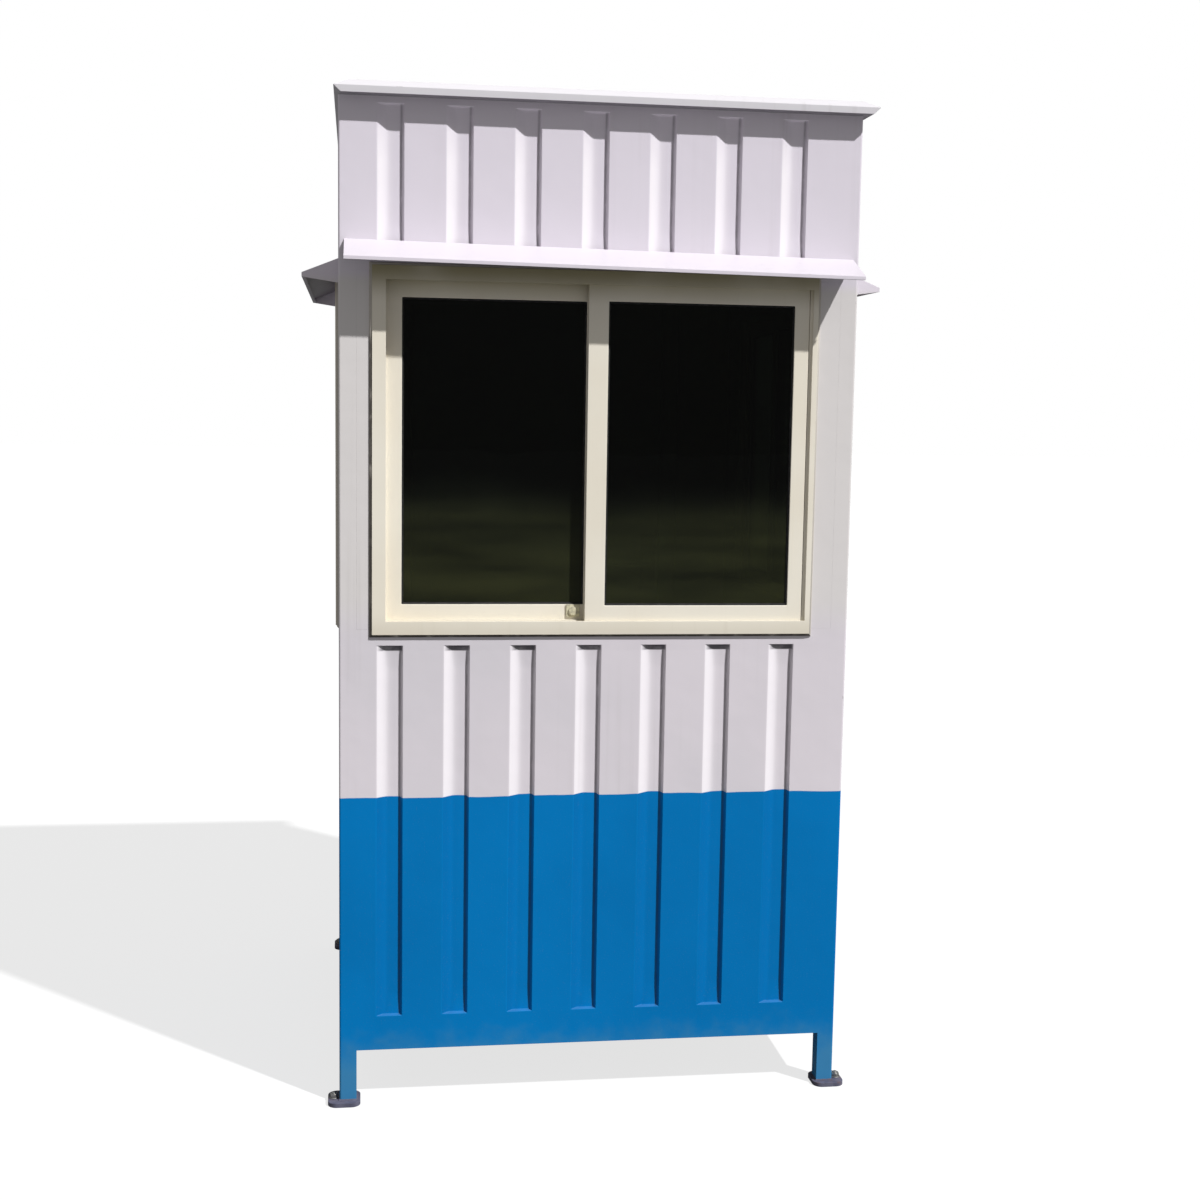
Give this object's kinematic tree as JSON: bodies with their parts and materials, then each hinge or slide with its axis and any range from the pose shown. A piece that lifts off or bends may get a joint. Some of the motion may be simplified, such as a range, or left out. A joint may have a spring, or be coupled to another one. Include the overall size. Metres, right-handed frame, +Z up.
{
  "type": "security guard booth",
  "caption": "Pressed-steel guard booth on short legs, painted white over blue, with wide sliding windows under drip hoods, a rear door and a flat roof.",
  "frame": {"origin": "on the ground under the middle of the cabin, at the centre of the anchor holes", "axes": "+Z up, the front wall with the wide window faces -Y, +X to the right seen from the front"},
  "size_m": [1.368, 1.357, 2.362],
  "materials": {
    "white_paint": "satin enamel",
    "blue_paint": "satin enamel",
    "cream_coating": "satin powder coat",
    "tinted_glass": "polished, dark tint",
    "lining_board": "matt paint",
    "floor_board": "matt sheet floor",
    "zinc_steel": "dull zinc"
  },
  "bodies": {
    "root": {"roof": "white_paint", "front_panel_upper": "white_paint", "front_strips": "white_paint", "left_panel_upper": "white_paint", "left_strips": "white_paint", "right_panel_upper": "white_paint", "right_strips": "white_paint", "back_panel_upper": "white_paint", "back_panels_beside_door": "white_paint", "front_hood": "white_paint", "left_hood": "white_paint", "right_hood": "white_paint", "door_frame": "white_paint", "door_leaf": "white_paint", "top_rails": "white_paint", "front_panel_lower": "blue_paint", "left_panel_lower": "blue_paint", "right_panel_lower": "blue_paint", "back_panel_lower": "blue_paint", "base_rails": "blue_paint", "post_front_left": "blue_paint", "post_front_right": "blue_paint", "post_back_left": "blue_paint", "post_back_right": "blue_paint", "base_plates": "blue_paint", "front_window_frame": "cream_coating", "front_sliding_sash": "cream_coating", "front_fixed_sash": "cream_coating", "left_window_frame": "cream_coating", "left_sashes": "cream_coating", "right_window_frame": "cream_coating", "right_sashes": "cream_coating", "front_glass": "tinted_glass", "left_glass": "tinted_glass", "right_glass": "tinted_glass", "lining_front": "lining_board", "lining_left": "lining_board", "lining_right": "lining_board", "lining_back": "lining_board", "ceiling": "lining_board", "floor": "floor_board", "front_latch": "zinc_steel", "door_hinges": "zinc_steel", "door_handles": "zinc_steel"}
  },
  "joints": []
}
